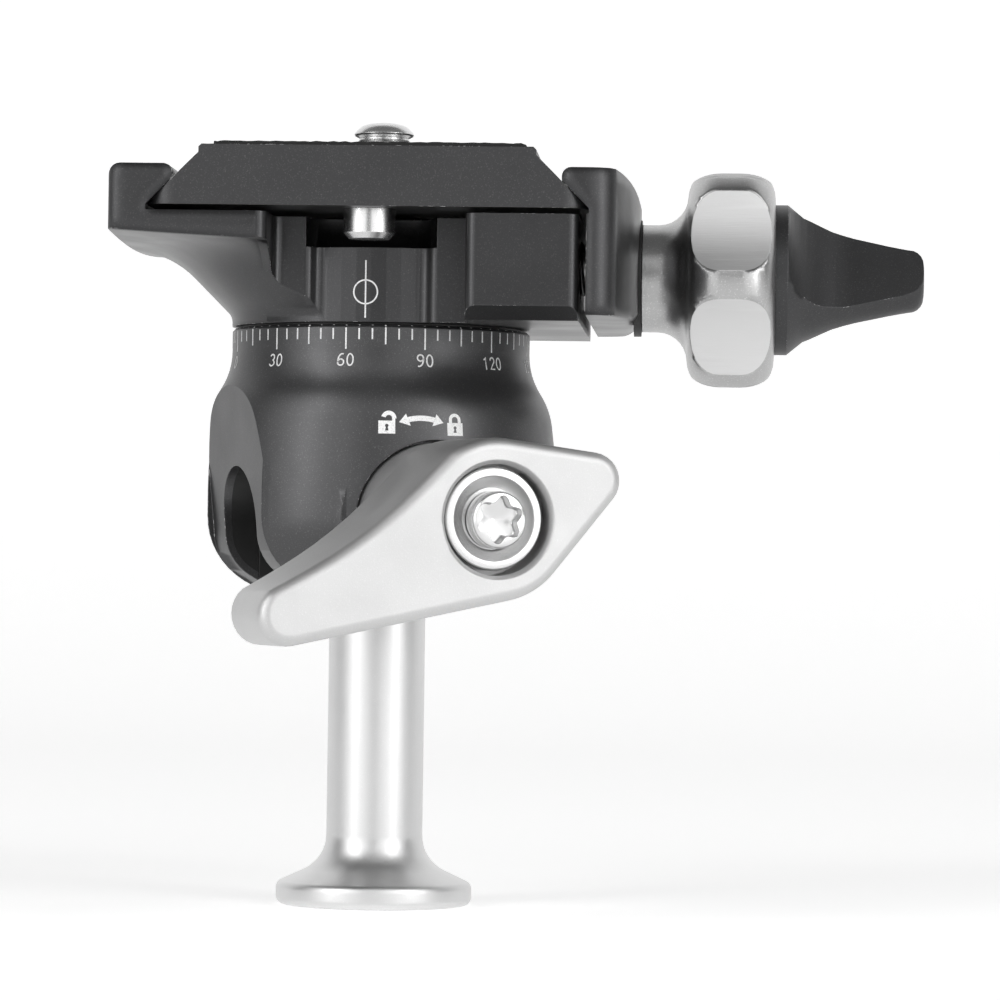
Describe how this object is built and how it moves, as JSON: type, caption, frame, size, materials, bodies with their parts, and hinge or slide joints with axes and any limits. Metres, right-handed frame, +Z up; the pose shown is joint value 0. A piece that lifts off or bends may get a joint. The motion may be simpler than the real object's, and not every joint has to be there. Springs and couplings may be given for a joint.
{
  "type": "tripod ball head",
  "caption": "Compact inverted ball head: a stem with a ball, a housing with a lock lever and drop slot, and a panning screw clamp that holds a dovetail camera plate.",
  "frame": {"origin": "Middle of the foot's underside, on the axis of the stem and of its 1/4 in thread", "axes": "+Z up along the stem to the camera screw, -Y to the front, where the lock lever is, and +X to the clamp knob; the plate slides along Y"},
  "size_m": [0.0707, 0.0563, 0.07],
  "materials": {
    "silver_anodised": "bead-blasted and clear anodised, satin",
    "grey_anodised": "dark grey satin anodised",
    "black_anodised": "matt black anodised",
    "steel": "plain stainless steel",
    "bright_steel": "polished stainless steel",
    "brass": "machined",
    "white_plastic": "machined acetal",
    "black_plastic": "moulded acetal",
    "black_rubber": "matt rubber"
  },
  "bodies": {
    "stem": {"stem": "silver_anodised", "ball": "black_anodised", "ball_stud": "steel"},
    "piston": {"lock_piston": "steel", "brake_pad": "white_plastic"},
    "housing": {"housing": "grey_anodised", "lower_seat": "black_plastic", "ball_cup": "black_plastic", "cup_spring": "steel", "housing_cap": "grey_anodised", "lock_bush": "brass", "pan_screw": "steel", "pan_washer": "steel"},
    "lever": {"lock_lever": "silver_anodised", "lock_spindle": "steel", "lever_washer": "bright_steel", "lever_screw": "bright_steel"},
    "clamp": {"clamp_body": "black_anodised", "pan_bearing": "black_plastic", "clamp_stud": "steel", "stud_circlip": "steel", "jaw_springs": "steel"},
    "jaw": {"movable_jaw": "black_anodised", "jaw_guide_pins": "steel"},
    "knob": {"clamp_knob": "silver_anodised", "knob_wing": "black_anodised", "knob_bush": "brass", "thrust_washer": "steel"},
    "plate": {"qr_plate": "black_anodised", "plate_pad": "black_rubber", "stop_screws": "bright_steel"},
    "camera_screw": {"camera_screw": "bright_steel", "screw_clip": "steel"}
  },
  "joints": [
    {"name": "swivel", "type": "hinge", "parent": "stem", "child": "piston", "pos_m": [0, 0, 0.0343], "axis": [0, 0, 1], "continuous": true},
    {"name": "notch_tilt", "type": "hinge", "parent": "piston", "child": "housing", "pos_m": [0, 0, 0.0343], "axis": [0.3907, -0.9205, 0], "range_deg": [-35, 90]},
    {"name": "lever_turn", "type": "hinge", "parent": "housing", "child": "lever", "pos_m": [0, 0, 0.0343], "axis": [0.3907, -0.9205, 0], "range_deg": [0, 50]},
    {"name": "pan", "type": "hinge", "parent": "housing", "child": "clamp", "pos_m": [0, 0, 0.0515], "axis": [0, 0, 1], "continuous": true},
    {"name": "jaw_slide", "type": "slide", "parent": "clamp", "child": "jaw", "axis": [1, 0, 0], "range_m": [0, 0.004], "deforming": ["jaw_springs"]},
    {"name": "knob_turn", "type": "hinge", "parent": "jaw", "child": "knob", "pos_m": [0.03, 0, 0.0563], "axis": [1, 0, 0], "range_deg": [0, 1440]},
    {"name": "plate_slide", "type": "slide", "parent": "clamp", "child": "plate", "axis": [0, 1, 0], "range_m": [-0.003, 0.003]},
    {"name": "screw_turn", "type": "hinge", "parent": "plate", "child": "camera_screw", "pos_m": [0, 0, 0.065], "axis": [0, 0, 1], "continuous": true}
  ],
  "couplings": [
    {"joint": "knob_turn", "follows": "jaw_slide", "rad_per_m": 6283.2}
  ]
}
